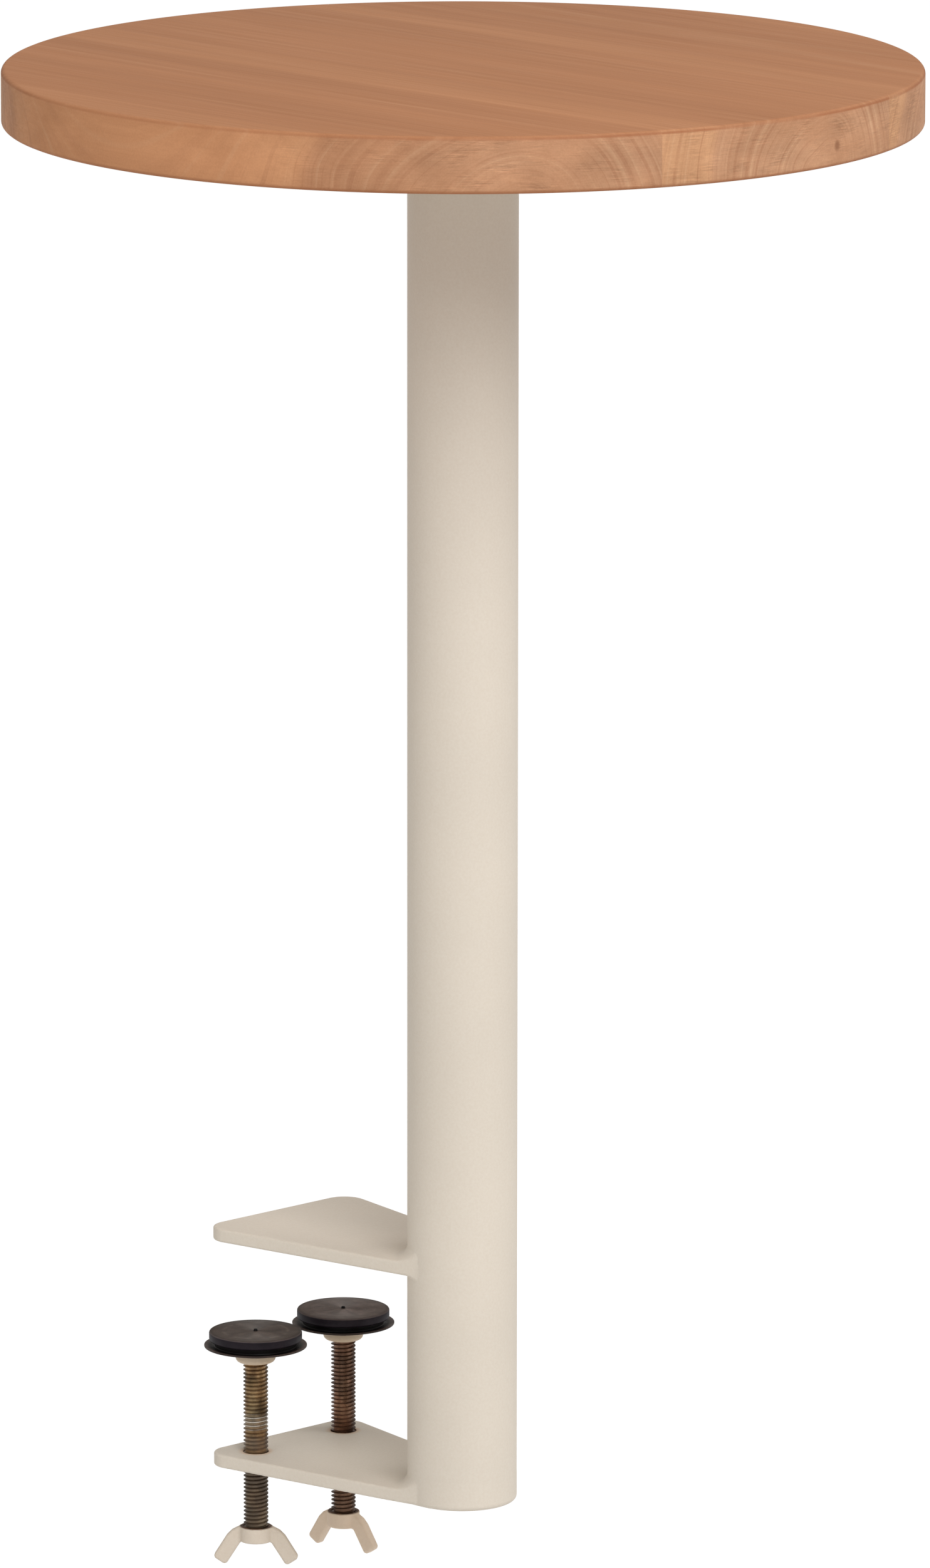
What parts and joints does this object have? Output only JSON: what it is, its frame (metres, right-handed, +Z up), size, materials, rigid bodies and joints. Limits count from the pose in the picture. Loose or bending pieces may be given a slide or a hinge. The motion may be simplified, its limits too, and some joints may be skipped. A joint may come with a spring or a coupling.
{
  "type": "clip-on side table",
  "caption": "Round wooden side table on a steel post, with a screw clamp at its foot that grips a rail or board between a fixed jaw and swivel pads.",
  "frame": {"origin": "on the underside of the fixed jaw, midway between the two screw axes", "axes": "+Z up along the post, the clamp's mouth opens towards -X, the post stands at +X"},
  "size_m": [0.4, 0.4, 0.6899],
  "materials": {
    "wood": "oiled, reddish brown",
    "paint": "warm beige powder coat",
    "rod_steel": "tarnished steel thread",
    "pad_rubber": "turned black rubber",
    "saucer_plastic": "black moulded plastic",
    "fixing_steel": "zinc-plated"
  },
  "bodies": {
    "frame": {"front_stave": "wood", "middle_stave": "wood", "rear_stave": "wood", "top_flange": "paint", "flange_screws": "fixing_steel", "post_tube": "paint", "fixed_jaw": "paint", "tapped_jaw": "paint", "flange_weld": "paint", "fixed_jaw_weld": "paint", "tapped_jaw_weld": "paint"},
    "front_carriage": {"front_collar": "paint"},
    "front_screw": {"front_rod": "rod_steel", "front_wing_nut": "paint"},
    "front_pad": {"front_pad_saucer": "saucer_plastic", "front_pad_cap": "pad_rubber"},
    "rear_carriage": {"rear_collar": "paint"},
    "rear_screw": {"rear_rod": "rod_steel", "rear_wing_nut": "paint"},
    "rear_pad": {"rear_pad_saucer": "saucer_plastic", "rear_pad_cap": "pad_rubber"}
  },
  "joints": [
    {"name": "front_feed", "type": "slide", "parent": "frame", "child": "front_carriage", "axis": [0, 0, 1], "range_m": [-0.0411, 0.0282]},
    {"name": "front_turn", "type": "hinge", "parent": "front_carriage", "child": "front_screw", "pos_m": [0, -0.02675, -0.0489], "axis": [0, 0, 1], "range_deg": [-8160, 5600]},
    {"name": "front_tilt", "type": "hinge", "parent": "front_carriage", "child": "front_pad", "pos_m": [0, -0.02675, -0.0489], "axis": [0, 1, 0], "range_deg": [-4, 4]},
    {"name": "rear_feed", "type": "slide", "parent": "frame", "child": "rear_carriage", "axis": [0, 0, 1], "range_m": [-0.0422, 0.0311]},
    {"name": "rear_turn", "type": "hinge", "parent": "rear_carriage", "child": "rear_screw", "pos_m": [0, 0.02675, -0.0478], "axis": [0, 0, 1], "range_deg": [-8380, 6175]},
    {"name": "rear_tilt", "type": "hinge", "parent": "rear_carriage", "child": "rear_pad", "pos_m": [0, 0.02675, -0.0478], "axis": [0, 1, 0], "range_deg": [-4, 4]}
  ],
  "couplings": [
    {"joint": "front_turn", "follows": "front_feed", "rad_per_m": 3463.1},
    {"joint": "rear_turn", "follows": "rear_feed", "rad_per_m": 3463.1}
  ]
}
